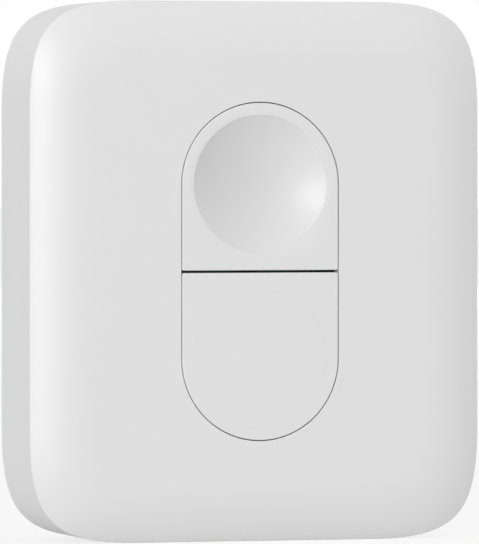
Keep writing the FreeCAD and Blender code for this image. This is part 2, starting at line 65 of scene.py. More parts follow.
# Places read from the frame
SHELL_LOW, SHELL_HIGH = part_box("front_shell")
COVER_LOW, COVER_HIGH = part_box("rear_cover")
DOOR_LOW, DOOR_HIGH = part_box("battery_door")
WINDOW_LOW, WINDOW_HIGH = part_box("ir_window")
STEM_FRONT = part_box("upper_switch_stem")[0][1]
HALF_WIDTH = (SHELL_HIGH[0] - SHELL_LOW[0]) / 2
HALF_HEIGHT = (SHELL_HIGH[2] - SHELL_LOW[2]) / 2
MIDDLE = (SHELL_HIGH[2] + SHELL_LOW[2]) / 2
CELL_AXIS = (DOOR_HIGH[2] + DOOR_LOW[2]) / 2
DOOR_RADIUS = (DOOR_HIGH[0] - DOOR_LOW[0]) / 2
FRONT = SHELL_LOW[1]
RIM = SHELL_HIGH[1]
BACK = COVER_HIGH[1]
QUADRANTS = ((1, 1), (-1, 1), (-1, -1), (1, -1))
PLACES = ("upper", "lower")

# How finely the surfaces are divided
CORNER_STEPS = 40
SIDE_STEPS = 40
ARC_STEPS = 96
BEND_STEPS = 6
COVER_STEPS = 8
CREASE_STEPS = 5
CROWN_RINGS = 34
CROWN_CROWDING = 1.5  # above 1, the crown's rings lie closer near the crease
DISH_RINGS = 26
DISH_START = 0.06  # the first ring's angle; a ring lies at the sine of its angle
FLOOR_RINGS = 8
FLOOR_SIDES = 64
SHARP = 26.0  # degrees; an edge that turns more is left sharp
KEY_SHARP = 30.0
TINY = 1e-9  # keeps a division away from zero

# Small forms
HOLD = 0.06 * MM  # a ring this far from an edge keeps the shading flat beside it
FINE_ROUND = 0.08 * MM  # the edges of the door's seat and of the coin slot
WINDOW_ROUND = 0.05 * MM
WINDOW_CORNER = 0.15 * MM
DISH_EDGE = 0.015 * MM  # how far the dish's edge runs to each side of its radius
FACE_SHARE = 0.4  # where the face's middle ring lies, from the key opening to the crown

# Each lamp's width and height in metres, then its turn to the left and its rise in degrees
KEY_LAMP = (0.35, 0.33)
SIDE_LAMP = (0.5, 0.6), -90.0, 17.0
TOP_LAMP = (1.0, 0.6), 0.0, 75.0
BACK_LAMP = (0.5, 0.18), -145.0, 6.0
LAMP_DISTANCE = 1.0
FLOOR_RADIUS = 3.0
SENSOR_WIDTH = 36.0
NEAR_CLIP = 0.01

WHITE = (1.0, 1.0, 1.0, 1.0)
BLACK = (0.0, 0.0, 0.0, 1.0)


def length(name, description, millimetres):
    """A size that a user may change, kept in metres."""
    return FloatProperty(name=name, description=description, default=millimetres * MM, min=0.0,
                         precision=5, subtype="DISTANCE", unit="LENGTH")


def angle(name, description, degrees):
    """An angle that a user may change, kept in radians."""
    return FloatProperty(name=name, description=description, default=math.radians(degrees),
                         unit="ROTATION")


def tint(name, description, default):
    """A linear colour that a user may change."""
    return FloatVectorProperty(name=name, description=description, default=default, size=3,
                               min=0.0, max=1.0, subtype="COLOR")


def factor(name, description, default, high=1.0):
    """A plain number that a user may change."""
    return FloatProperty(name=name, description=description, default=default, min=0.0, max=high)


class RemoteCaseSizes(bpy.types.PropertyGroup):
    """Sizes of the case: its outline, crown, walls and rounded edges."""

    corner_reach: length("Corner reach", "How far a soft corner runs along each side", 8.8)
    corner_fullness: factor("Corner fullness", "Length of a corner's handles over its reach", 0.79)
    crown_height: length("Crown height", "How far the face stands in front of the crease", 1.34)
    crown_run: length("Crown run", "How far in from the side the face turns flat", 4.6)
    least_corner_reach: length("Least corner reach", "Corner reach where the crown ends", 4.9)
    wall: length("Wall", "Thickness of the side wall", 1.5)
    wall_corner_shrink: factor("Corner shrink", "Corner reach lost per unit inward", 1.44, 2.0)
    front_wall: length("Front wall", "Thickness of the front behind the flat face", 1.4)
    crease_round: length("Crease round", "Radius between the crown and the side wall", 0.1)
    rim_round: length("Rim round", "Radius of the side wall's back edge", 0.12)
    cover_inset: length("Cover inset", "How far the back plate stands in from the side", 0.7)
    cover_round: length("Cover round", "Radius of the back plate's edge", 0.8)
    lip_gap: length("Lip gap", "Clearance between the cover's lip and the wall", 0.12)
    lip_thickness: length("Lip thickness", "Thickness of the cover's lip", 1.0)
    window_gap: length("Window gap", "Clearance round the infrared window", 0.05)
    window_flange: length("Window flange", "How far the window's flange runs out", 0.6)


class RemoteKeySizes(bpy.types.PropertyGroup):
    """Sizes of the key field and its two keys."""

    field_width: length("Field width", "Width of the two keys", 12.92)
    field_straight: length("Field straight", "Distance between the field's arc centres", 13.91)
    gap: length("Gap", "Clearance between the keys and the case", 0.08)
    split: length("Split", "Gap between the two keys", 0.2)
    edge_round: length("Edge round", "Radius of the keys' front edges", 0.06)
    corner_round: length("Corner round", "Radius of a key's corners at the split", 0.15)
    flange_gap: length("Flange gap", "Clearance between the flange and the case", 0.03)
    flange: length("Flange", "Thickness of the stop flange", 0.65)
    flange_reach: length("Flange reach", "How far the flange runs outward", 0.8)
    wall: length("Key wall", "Thickness of a key's wall", 1.1)
    dish_radius: length("Dish radius", "Radius of the thumb dish at the face", 5.5)
    dish_depth: length("Dish depth", "Depth of the thumb dish", 1.65)
    dish_wall: length("Dish wall", "Thickness behind the thumb dish", 0.8)
    plunger_radius: length("Plunger radius", "Radius of the plunger behind a key", 1.2)


class RemoteDoorSizes(bpy.types.PropertyGroup):
    """Sizes of the battery door and its seat in the cover."""

    seat: length("Seat depth", "Depth of the door's recess in the cover", 0.8)
    rim: length("Rim", "Thickness of the door's rim", 0.78)
    gap: length("Gap", "Clearance round the door", 0.12)
    neck_reach: length("Neck reach", "How far the neck stands in from the rim", 1.6)
    neck_wall: length("Neck wall", "Thickness of the neck", 0.45)
    plate: length("Plate", "Thickness of the door's plate", 1.35)
    edge_round: length("Edge round", "Radius of the door's edges", 0.15)
    slot_length: length("Slot length", "Length of the coin slot", 15.0)
    slot_width: length("Slot width", "Width of the coin slot", 1.8)
    slot_depth: length("Slot depth", "Depth of the coin slot", 0.75)
    mark_width: length("Mark width", "Width of a turn mark", 0.45)
    mark_length: length("Mark length", "Length of a turn mark", 1.3)
    mark_depth: length("Mark depth", "Depth of a turn mark", 0.2)
    mark_from_rim: length("Mark from rim", "Distance of a mark from the door's rim", 1.1)
    turn: angle("Turn", "Turn that frees the door", 35.0)


class RemoteFinishes(bpy.types.PropertyGroup):
    """Colours and grain of the finishes, and the painted shade of the upper key's dish."""

    shell_colour: tint("Shell", "Colour of the moulded case", (0.8, 0.8, 0.8))
    key_colour: tint("Keys", "Colour of the keys", (0.8, 0.8, 0.8))
    cover_colour: tint("Cover", "Colour of the back cover and door", (0.76, 0.76, 0.76))
    window_colour: tint("Window", "Colour of the infrared window", (0.02, 0.014, 0.022))
    # Painted shade: the key colour is darkened inside the dish, from rim to middle, as shade in
    # the hollow.
    dish_middle: factor("Dish middle", "Shade of the dish at its middle", 0.89)
    dish_rim: factor("Dish rim", "Shade of the dish at its rim", 0.945)
    satin: factor("Satin", "Roughness of the white plastic", 0.4)
    grain_size: length("Grain size", "Width of the moulded grain", 0.12)
    grain_depth: length("Grain depth", "Height of the moulded grain", 0.004)


class RemoteStage(bpy.types.PropertyGroup):
    """The camera and the lights."""

    lens: FloatProperty(name="Lens", description="Focal length on a 36 mm sensor", default=465.8,
                        min=10.0, unit="CAMERA")
    distance: length("Distance", "From the camera to the middle of the crease", 560.8)
    camera_turn: angle("Camera turn", "Angle to the object's left", 16.48)
    camera_rise: angle("Camera rise", "Angle above level", 1.02)
    aim_left: length("Aim left", "How far left of the middle the camera looks", 1.29)
    aim_down: length("Aim down", "How far below the middle the camera looks", 0.062)
    key_power: factor("Key light", "Watts of the soft lamp at the left", 4.95, 100.0)
    key_turn: angle("Key turn", "Angle of the soft lamp to the left", 39.0)
    key_rise: angle("Key rise", "Angle of the soft lamp above level", 10.0)
    side_power: factor("Side light", "Watts of the lamp at the far right", 1.4, 100.0)
    top_power: factor("Top light", "Watts of the lamp overhead", 0.95, 100.0)
    back_power: factor("Back light", "Watts of the lamp that lights the back", 3.0, 100.0)
    sky: factor("Surroundings", "Strength of the light from all round", 0.49, 5.0)
    floor_colour: tint("Floor", "Colour of the floor as the camera sees it", (0.92, 0.92, 0.92))
    floor_bounce: tint("Floor bounce", "Colour of the light off the floor", (0.7, 0.7, 0.7))
    floor_shade: factor("Floor shade", "How much of the shadow shows on the floor", 0.2)


# Outlines and meshes

def row(x, y, z):
    """Points of a ring; x and z are arrays, y is an array or one value."""
    return np.stack([x, np.broadcast_to(y, x.shape), z], axis=-1)


def quarter(steps):
    """Even angles from 0 to a right angle."""
    return np.linspace(0.0, math.pi / 2, steps + 1)


def case_outline(case, inset, y, reach=None):
    """The case's outline, moved inward by inset, at depth y.

    A corner is a cubic curve from one side to the next: its ends lie at reach from the corner, and
    its handles are fullness times reach long. The straight sides between them are divided evenly.
    """
    if reach is None:
        reach = max(case.corner_reach - case.wall_corner_shrink * inset, case.least_corner_reach)
    t = np.linspace(0.0, 1.0, CORNER_STEPS + 1)[:, None]
    hold = 1.0 - case.corner_fullness
    from_end = (1 - t) ** 3 + 3 * t * (1 - t) ** 2 * hold
    from_side = 3 * t ** 2 * (1 - t) * hold + t ** 3
    corner = np.hstack([from_end, from_side]) * reach
    size = np.array([HALF_WIDTH - inset, HALF_HEIGHT - inset])
    corners = []
    for side, end in QUADRANTS:
        points = (size - corner[:, ::-1]) * (side, end)
        corners.append(points if side == end else points[::-1])
    pieces = []
    for number, points in enumerate(corners):
        following = corners[(number + 1) % len(corners)][0]
        share = np.linspace(0.0, 1.0, SIDE_STEPS + 1)[1:-1, None]
        pieces += [points, points[-1] * (1 - share) + following * share]
    plan = np.vstack(pieces)
    return row(plan[:, 0], y, MIDDLE + plan[:, 1])


def around(points, middle_z):
    """The turn of each point about the axis at middle_z."""
    return np.arctan2(points[:, 2] - middle_z, points[:, 0])


def pill_outline(angles, half_width, half_straight, y):
    """An upright pill, met by rays at the given angles from its middle.

    A ray meets a straight side at half_width / |cos|, and an end arc at the far root of its
    quadratic, half_straight * |sin| + sqrt(half_width^2 - half_straight^2 * cos^2).
    """
    across, up = np.cos(angles), np.sin(angles)
    side = half_width / np.maximum(np.abs(across), TINY)
    inside = np.maximum(half_width ** 2 - (half_straight * across) ** 2, 0.0)
    arc = half_straight * np.abs(up) + np.sqrt(inside)
    ray = np.where(side * np.abs(up) <= half_straight, side, arc)
    return row(ray * across, y, MIDDLE + ray * up)


def circle(angles, radius, y, middle_z=CELL_AXIS):
    """A circle at depth y: radius times cosine across, and radius times sine above middle_z."""
    return row(radius * np.cos(angles), y, middle_z + radius * np.sin(angles))


def key_outline(keys, grow, bottom, y):
    """One key seen from the front: a half disc on a rectangle, its arc centre at zero height.

    The arc has half the field's width, and grow is added to it. The straight lower edge lies at
    height bottom, and joins the sides by small quarter arcs.
    """
    half = keys.field_width / 2 + grow
    small = keys.corner_round
    arc = np.linspace(0.0, math.pi, ARC_STEPS + 1)
    share = np.linspace(0.0, 1.0, SIDE_STEPS + 1)[1:-1]
    bend = quarter(BEND_STEPS)
    drop = (bottom + small) * share
    flat = (half - small) * (1 - 2 * share)
    x = np.concatenate([half * np.cos(arc), np.full(share.shape, -half),
                        -half + small - small * np.cos(bend), -flat,
                        half - small + small * np.sin(bend), np.full(share.shape, half)])
    z = np.concatenate([half * np.sin(arc), drop,
                        bottom + small - small * np.sin(bend), np.full(share.shape, bottom),
                        bottom + small - small * np.cos(bend), drop[::-1]])
    return row(x, y, z)


def round_over(radius, steps=4):
    """A quarter-round edge, as pairs: distance in from the side and depth behind the face."""
    return [(radius * (1 - math.sin(turn)), radius * (1 - math.cos(turn)))
            for turn in quarter(steps)]


def opening_edge(radius, outline):
    """The rings over an opening's rounded edge; outline(out, behind) gives one of them."""
    bend = [(radius - a, b) for a, b in round_over(radius)[::-1]]
    return [outline(*place) for place in [(0.0, radius + HOLD)] + bend + [(radius + HOLD, 0.0)]]


def between(first, second, share=0.5):
    """A ring between two others."""
    return first * (1 - share) + second * share


def skin(rings, closed=False, first=None, last=None):
    """Vertices and faces of a surface through rings of equally many points.

    The two parameters are the place round a ring and the ring's number. A closed surface joins its
    last ring to its first. An end is closed by a fan to a point, or by one flat face for "flat".
    """
    count, around_count = len(rings), len(rings[0])
    vertices = np.concatenate(rings)
    index = np.arange(count * around_count).reshape(count, around_count)
    near = index if closed else index[:-1]
    far = np.roll(index, -1, axis=0) if closed else index[1:]
    quads = np.stack([near, np.roll(near, -1, axis=1), np.roll(far, -1, axis=1), far], axis=-1)
    faces = quads.reshape(-1, 4).tolist()
    for end, edge in ((first, index[0][::-1]), (last, index[-1])):
        if isinstance(end, str):
            faces.append(edge.tolist())
        elif end is not None:
            tip = len(vertices)
            vertices = np.vstack([vertices, end])
            fan = np.stack([edge, np.roll(edge, -1), np.full(edge.shape, tip)], axis=-1)
            faces += fan.tolist()
    return vertices, faces


def joined(parts):
    """Several surfaces as one list of vertices and faces."""
    vertices, faces = np.empty((0, 3)), []
    for points, polygons in parts:
        faces += [[len(vertices) + corner for corner in face] for face in polygons]
        vertices = np.vstack([vertices, points])
    return vertices, faces


def new_mesh(name, vertices, faces, sharp):
    """A mesh with outward faces, smooth but for edges that turn more than sharp."""
    mesh = bpy.data.meshes.new(name)
    mesh.from_pydata(vertices.tolist(), [], faces)
    mesh.validate()
    mesh.calc_loop_triangles()
    corners = np.empty(len(mesh.loop_triangles) * 3, dtype=np.int32)
    mesh.loop_triangles.foreach_get("vertices", corners)
    a, b, c = np.moveaxis(vertices[corners.reshape(-1, 3)], 1, 0)
    if np.einsum("ij,ij->i", a, np.cross(b, c)).sum() < 0:
        mesh.flip_normals()
    soften(mesh, sharp)
    return mesh


def soften(mesh, sharp):
    """Shades a mesh smooth, but for edges that turn more than sharp."""
    mesh.polygons.foreach_set("use_smooth", np.ones(len(mesh.polygons), dtype=bool))
    mesh.set_sharp_from_angle(angle=math.radians(sharp))
    mesh.update()


def put_in(name, data):
    """A new object of the scene."""
    thing = bpy.data.objects.new(name, data)
    bpy.context.scene.collection.objects.link(thing)
    return thing


def new_piece(name, shape, body, node, sharp=SHARP):
    """A finished piece: its mesh, the body it rides on, and the CAD node that it stands for."""
    piece = put_in(name, new_mesh(name, *shape, sharp))
    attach(piece, body)
    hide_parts(node)
    return piece


def carve(piece, cutters):
    """Cuts closed shapes out of a piece exactly, and keeps only the result."""
    tool = put_in("cutter", new_mesh("cutter", *joined(cutters), SHARP))
    cut = piece.modifiers.new("cut", "BOOLEAN")
    cut.operation = "DIFFERENCE"
    cut.solver = "EXACT"
    cut.object = tool
    bpy.context.view_layer.update()
    result = bpy.data.meshes.new_from_object(
        piece.evaluated_get(bpy.context.evaluated_depsgraph_get()))
    if not result.polygons:
        raise RuntimeError("cutting left nothing of " + piece.name)
    piece.modifiers.clear()
    old = piece.data
    piece.data = result
    result.name = piece.name
    bpy.data.meshes.remove(old)
    bpy.data.meshes.remove(tool.data)
    soften(result, SHARP)


def box_shape(low, high):
    """A closed block between two corners."""
    x0, y0, z0 = low
    x1, y1, z1 = high
    x, z = np.array([x0, x1, x1, x0]), np.array([z0, z0, z1, z1])
    return skin([row(x, y0, z), row(x, y1, z)], first="flat", last="flat")


# The case

def crown_rings(case):
    """The crown, from the flat face out to the crease.

    The section is an arc that meets the flat face smoothly: at a distance t in from the side it
    lies behind the front plane by R - sqrt(R^2 - (run - t)^2), where
    R = (run^2 + height^2) / (2 height). The corner's reach grows evenly from least to full.
    """
    run, height, radius = case.crown_run, case.crown_height, case.crease_round
    ball = (run ** 2 + height ** 2) / (2 * height)
    slope = math.asin(run / ball)
    seat = FRONT + height + radius * math.tan((math.pi / 2 - slope) / 2)
    tangent = radius * (1 - math.sin(slope))
    growth = (case.corner_reach - case.least_corner_reach) / run
    share = np.linspace(1.0, 0.0, CROWN_RINGS) ** CROWN_CROWDING
    rings = [case_outline(case, t, FRONT + ball - math.sqrt(ball ** 2 - (run - t) ** 2),
                          case.corner_reach - growth * t)
             for t in tangent + (run - tangent) * share]
    for bend in np.linspace(slope, math.pi / 2, CREASE_STEPS + 1)[1:]:
        t = radius * (1 - math.sin(bend))
        rings.append(case_outline(case, t, seat - radius * math.cos(bend),
                                  case.corner_reach - growth * t))
    rings.append(case_outline(case, 0.0, seat + HOLD))
    return rings


def shell_rings(case, keys):
    """A closed tour of the shell's section: key opening, face, crown, side wall, rim, inside."""
    inner_front = FRONT + case.front_wall
    crown = crown_rings(case)
    angles = around(crown[0], MIDDLE)
    half = keys.field_width / 2 + keys.gap
    straight = keys.field_straight / 2
    rings = [pill_outline(angles, half, straight, inner_front)]
    rings += opening_edge(keys.edge_round, lambda out, behind:
                          pill_outline(angles, half + out, straight, FRONT + behind))
    rings += [between(rings[-1], crown[0], FACE_SHARE)] + crown
    rim = case.rim_round
    rings.append(case_outline(case, 0.0, RIM - rim - HOLD))
    rings += [case_outline(case, rim - a, RIM - rim + b)
              for a, b in round_over(rim, BEND_STEPS)[::-1]]
    rings += [case_outline(case, rim + HOLD, RIM),
              case_outline(case, case.wall, RIM),
              case_outline(case, case.wall, inner_front)]
    return rings


def build_front_shell(scene):
    """The shell: a closed tour of its section, with the window's opening cut out."""
    case, keys = scene.remote_case, scene.remote_keys
    shape = skin(shell_rings(case, keys), closed=True)
    shell = new_piece("front_shell_skin", shape, "case", "front_shell")
    left, near, far = window_plan(case)
    gap = case.window_gap
    low = (left - gap, near - gap, SHELL_HIGH[2] - 2 * case.wall)
    high = (gap - left, far + gap, SHELL_HIGH[2] + case.wall)
    carve(shell, [box_shape(low, high)])
    return shell


def window_plan(case):
    """Left side, front and back of the window's plug, inside its flange."""
    flange = case.window_flange
    return WINDOW_LOW[0] + flange, WINDOW_LOW[1] + flange, WINDOW_HIGH[1] - flange


# The keys

def key_rings(keys, front_wall, dish_depth):
    """A key's section from its dish out to the flange and back under, about its arc centre.

    The dish is part of a sphere: at radius r it lies behind the face by
    depth - (R - sqrt(R^2 - r^2)), where R = (dish radius^2 + depth^2) / (2 depth).
    """
    bottom = -keys.field_straight / 2 + keys.split / 2
    edge = keys.edge_round
    flange_from = FRONT + front_wall + keys.flange_gap
    flange_to = flange_from + keys.flange
    rim = key_outline(keys, -edge - HOLD, bottom + edge + HOLD, FRONT)
    turn = around(rim, 0.0)
    radii = keys.dish_radius * np.sin(np.linspace(DISH_START, math.pi / 2, DISH_RINGS))
    radii[-1] -= DISH_EDGE
    rings = [circle(turn, r, FRONT + dish_drop(keys, dish_depth, r), 0.0) for r in radii]
    lip = circle(turn, keys.dish_radius + DISH_EDGE, FRONT, 0.0)
    rings += [lip, between(lip, rim), rim]
    rings += [key_outline(keys, -a, bottom + a, FRONT + b) for a, b in round_over(edge)]
    reach, wall = keys.flange_reach, keys.wall
    rings += [key_outline(keys, grow, bottom + lift, y) for grow, lift, y in (
        (0.0, 0.0, FRONT + edge + HOLD), (0.0, 0.0, flange_from), (reach, 0.0, flange_from),
        (reach, 0.0, flange_to), (-wall, wall, flange_to), (-wall, wall, FRONT + wall))]
    behind_dish = dish_depth + (keys.dish_wall if dish_depth else wall)
    rings += [circle(turn, keys.plunger_radius, y, 0.0)
              for y in (FRONT + behind_dish, STEM_FRONT)]
    return rings


def dish_drop(keys, depth, radius):
    """Depth of the spherical dish behind the face at a radius."""
    if depth == 0:
        return 0.0
    ball = (keys.dish_radius ** 2 + depth ** 2) / (2 * depth)
    return depth - ball + math.sqrt(ball ** 2 - radius ** 2)


def build_key(scene, node, end, dish_depth):
    """A key: its section moved to its arc centre, and for an end of -1 turned upside down."""
    case, keys = scene.remote_case, scene.remote_keys
    centre = MIDDLE + end * keys.field_straight / 2
    rings = [ring * (1, 1, end) + (0, 0, centre)
             for ring in key_rings(keys, case.front_wall, dish_depth)]
    shape = skin(rings, first=[[0, FRONT + dish_depth, centre]], last="flat")
    return new_piece(node + "_cap", shape, node, node, KEY_SHARP)


# The back

def cover_rings(case, door):
    """A closed tour of the cover's section: door seat, back face, rounded edge, plinth and lip."""
    plinth, edge, lip = case.cover_inset, case.cover_round, case.wall + case.lip_gap
    outer = case_outline(case, plinth + edge + HOLD, BACK, plinth_reach(case, edge + HOLD))
    angles = around(outer, CELL_AXIS)
    opening = DOOR_RADIUS - door.neck_reach + door.gap
    recess = DOOR_RADIUS + door.gap
    ledge = BACK - door.seat
    rings = [circle(angles, opening, RIM), circle(angles, opening, ledge),
             circle(angles, recess, ledge)]
    rings += opening_edge(FINE_ROUND, lambda out, behind:
                          circle(angles, recess + out, BACK - behind))
    rings += [between(rings[-1], outer), outer]
    rings += [case_outline(case, plinth + a, BACK - b, plinth_reach(case, a))
              for a, b in round_over(edge, COVER_STEPS)]
    inside = lip + case.lip_thickness
    rings += [case_outline(case, inset, y) for inset, y in (
        (plinth, BACK - edge - HOLD), (plinth, RIM), (lip, RIM), (lip, COVER_LOW[1]),
        (inside, COVER_LOW[1]), (inside, RIM))]
    return rings


def plinth_reach(case, distance):
    """Corner reach of the plinth's outline, a given distance in from its side."""
    full = case.corner_reach - case.wall_corner_shrink * case.cover_inset
    return full - case.wall_corner_shrink * distance


def turn_mark(door, radius, turn):
    """A short radial groove with square ends, at a turn from the top."""
    half = door.mark_width / 2
    near, far = radius - door.mark_length / 2, radius + door.mark_length / 2
    vertices, faces = box_shape((-half, BACK - door.mark_depth, near), (half, BACK + MM, far))
    cos, sin = math.cos(turn), math.sin(turn)
    x, z = vertices[:, 0] * cos + vertices[:, 2] * sin, vertices[:, 2] * cos - vertices[:, 0] * sin
    return row(x, vertices[:, 1], CELL_AXIS + z), faces


def build_rear_cover(scene):
    """The cover: a closed tour of its section, with two turn marks cut in."""
    case, door = scene.remote_case, scene.remote_door
    shape = skin(cover_rings(case, door), closed=True)
    cover = new_piece("rear_cover_skin", shape, "case", "rear_cover")
    radius = DOOR_RADIUS + door.mark_from_rim
    carve(cover, [turn_mark(door, radius, turn) for turn in (0.0, door.turn)])
    return cover


def stadium(angles, half_length, half_width, y):
    """A lying slot outline met by rays: the pill's formula with width and height exchanged."""
    upright = pill_outline(math.pi / 2 - angles, half_width, half_length - half_width, y)
    return row(upright[:, 2] - MIDDLE, y, CELL_AXIS + upright[:, 0])


def door_rings(door):
    """The door's section: slot floor, slot wall, back face, rim, neck, and the inside."""
    angles = np.linspace(0.0, 2 * math.pi, 4 * ARC_STEPS, endpoint=False)
    slant = np.arctan2(np.sin(angles) * door.slot_width, np.cos(angles) * door.slot_length)
    half, wide = door.slot_length / 2, door.slot_width / 2
    rings = [stadium(slant, half, wide, BACK - door.slot_depth)]
    rings += opening_edge(FINE_ROUND, lambda out, behind:
                          stadium(slant, half + out, wide + out, BACK - behind))
    edge = door.edge_round
    outer = circle(angles, DOOR_RADIUS - edge - HOLD, BACK)
    rings += [between(rings[-1], outer), outer]
    rings += [circle(angles, DOOR_RADIUS - a, BACK - b) for a, b in round_over(edge)]
    neck = DOOR_RADIUS - door.neck_reach
    inside = neck - door.neck_wall
    rings += [circle(angles, radius, y) for radius, y in (
        (DOOR_RADIUS, BACK - edge - HOLD), (DOOR_RADIUS, BACK - door.rim),
        (neck, BACK - door.rim), (neck, DOOR_LOW[1]), (inside, DOOR_LOW[1]),
        (inside, BACK - door.plate))]
    return rings


def build_battery_door(scene):
    """The door: its section from the slot's floor to the inside, with one turn mark cut in."""
    door = scene.remote_door
    shape = skin(door_rings(door), first="flat", last="flat")
    piece = new_piece("battery_door_skin", shape, "battery_door", "battery_door")
    carve(piece, [turn_mark(door, DOOR_RADIUS - door.mark_from_rim, 0.0)])
    return piece


def build_window(scene):
    """The window: a rounded block flush with the top, on a flange inside the wall."""
    case = scene.remote_case
    left, near, far = window_plan(case)
    centre = (near + far) / 2
    size = np.array([-left, (far - near) / 2])
    flange = np.array([WINDOW_HIGH[0], (WINDOW_HIGH[1] - WINDOW_LOW[1]) / 2])
    seat = WINDOW_HIGH[2] - case.wall
    rings = [rounded_block(size - a, WINDOW_HIGH[2] - b, centre)
             for a, b in round_over(WINDOW_ROUND)]
    rings += [rounded_block(size, seat, centre), rounded_block(flange, seat, centre),
              rounded_block(flange, WINDOW_LOW[2], centre)]
    shape = skin(rings, first="flat", last="flat")
    return new_piece("ir_window_lens", shape, "case", "ir_window")


def rounded_block(size, z, centre):
    """A rectangle with quarter-round corners, level at height z, about the depth centre."""
    turn = np.concatenate([quarter(BEND_STEPS) + k * math.pi / 2 for k in range(4)])
    signs = np.repeat(QUADRANTS, BEND_STEPS + 1, axis=0)
    middles = signs * (size - WINDOW_CORNER)
    x = middles[:, 0] + WINDOW_CORNER * np.cos(turn)
    y = middles[:, 1] + WINDOW_CORNER * np.sin(turn)
    return row(x, centre + y, np.full(x.shape, z))


# Shader node groups

GRAIN = (("Colour", "Color"), ("Roughness", "Float"), ("Height", "Float"))


def new_group(name, inputs, outputs=GRAIN):
    """An empty node group with named sockets; inputs are (name, kind, default)."""
    group = bpy.data.node_groups.new(name, "ShaderNodeTree")
    for label, kind, default in inputs:
        socket = group.interface.new_socket(name=label, in_out="INPUT",
                                            socket_type="NodeSocket" + kind)
        socket.default_value = default
    for label, kind in outputs:
        group.interface.new_socket(name=label, in_out="OUTPUT", socket_type="NodeSocket" + kind)
    return group, group.nodes.new("NodeGroupInput").outputs, group.nodes.new("NodeGroupOutput")


def kept_group(build):
    """The node group of a function's name, built when it is first asked for."""
    return bpy.data.node_groups.get(build.__name__) or build()


def feed(node, inputs):
    """Gives a node's inputs, by name or number, a value or another node's socket."""
    for name, value in inputs.items():
        if isinstance(value, bpy.types.NodeSocket):
            node.id_data.links.new(value, node.inputs[name])
        else:
            node.inputs[name].default_value = value


def add_node(tree, kind, inputs=None, **settings):
    """A shader node with its settings and its inputs."""
    node = tree.nodes.new("ShaderNode" + kind)
    for name, value in settings.items():
        setattr(node, name, value)
    feed(node, inputs or {})
    return node


def object_place(tree):
    """Where a point lies on its own object."""
    return add_node(tree, "TexCoord").outputs["Object"]


def noise(tree, place, scale, detail, roughness=0.5):
    """Soft noise of so many cells per metre."""
    return add_node(tree, "TexNoise", {"Vector": place, "Scale": scale, "Detail": detail,
                                       "Roughness": roughness}).outputs["Fac"]


def stretched(tree, value, old, new):
    """A value spread evenly from an old range to a new one."""
    return add_node(tree, "MapRange",
                    {"Value": value, "From Min": old[0], "From Max": old[1],
                     "To Min": new[0], "To Max": new[1]}).outputs["Result"]


def mixed(tree, share, first, second):
    """Two colours mixed by a share."""
    return add_node(tree, "Mix", {0: share, 6: first, 7: second}, data_type="RGBA").outputs[2]


def reckoned(tree, operation, first, second, kind="Math"):
    """Two numbers, or with VectorMath two vectors, put through one operation."""
    return add_node(tree, kind, {0: first, 1: second}, operation=operation).outputs[0]


def grained(group, given, end, colour, spread, height):
    """Ends a grain group: its colour, its roughness times a spread, and its height."""
    roughness = reckoned(group, "MULTIPLY", given["Roughness"], spread)
    feed(end, {"Colour": colour, "Roughness": roughness, "Height": height})
    return group


def moulded_grain():
    """Fine spark-eroded grain, as moulded plastic has: height, roughness and a faint shade."""
    group, given, end = new_group(
        "moulded_grain", (("Colour", "Color", (0.8, 0.8, 0.8, 1.0)),
                          ("Cells per metre", "Float", 8000.0), ("Roughness", "Float", 0.42)))
    place = object_place(group)
    fine = noise(group, place, given["Cells per metre"], 2.0, 0.55)
    cloud = stretched(group, noise(group, place, 90.0, 3.0), (0.3, 0.7), (0.0, 0.025))
    return grained(group, given, end,
                   mixed(group, cloud, given["Colour"], (0.62, 0.61, 0.59, 1.0)),
                   stretched(group, fine, (0.3, 0.7), (0.92, 1.08)), fine)


def drawn_grain():
    """Long fine streaks, as rolled or brushed sheet has: height, roughness and a shade."""
    group, given, end = new_group(
        "drawn_grain", (("Colour", "Color", (0.7, 0.7, 0.7, 1.0)),
                        ("Stretch", "Vector", (400.0, 9000.0, 9000.0)),
                        ("Roughness", "Float", 0.3)))
    place = reckoned(group, "MULTIPLY", object_place(group), given["Stretch"], "VectorMath")
    streak = noise(group, place, 1.0, 3.0)
    dark = stretched(group, streak, (0.3, 0.7), (0.0, 0.22))
    return grained(group, given, end, mixed(group, dark, given["Colour"], (0.3, 0.3, 0.3, 1.0)),
                   stretched(group, streak, (0.25, 0.75), (0.75, 1.3)), streak)


def speckle():
    """Fired or pressed powder: raised, slightly smoother spots of a second colour."""
    group, given, end = new_group(
        "speckle", (("Colour", "Color", (0.6, 0.5, 0.4, 1.0)),
                    ("Spots", "Color", (0.4, 0.3, 0.2, 1.0)),
                    ("Spots per metre", "Float", 3000.0), ("Roughness", "Float", 0.6)))
    cells = add_node(group, "TexVoronoi",
                     {"Vector": object_place(group), "Scale": given["Spots per metre"]})
    spots = stretched(group, cells.outputs["Distance"], (0.1, 0.6), (1.0, 0.0))
    return grained(group, given, end, mixed(group, spots, given["Colour"], given["Spots"]),
                   stretched(group, spots, (0.0, 1.0), (1.0, 0.85)), spots)


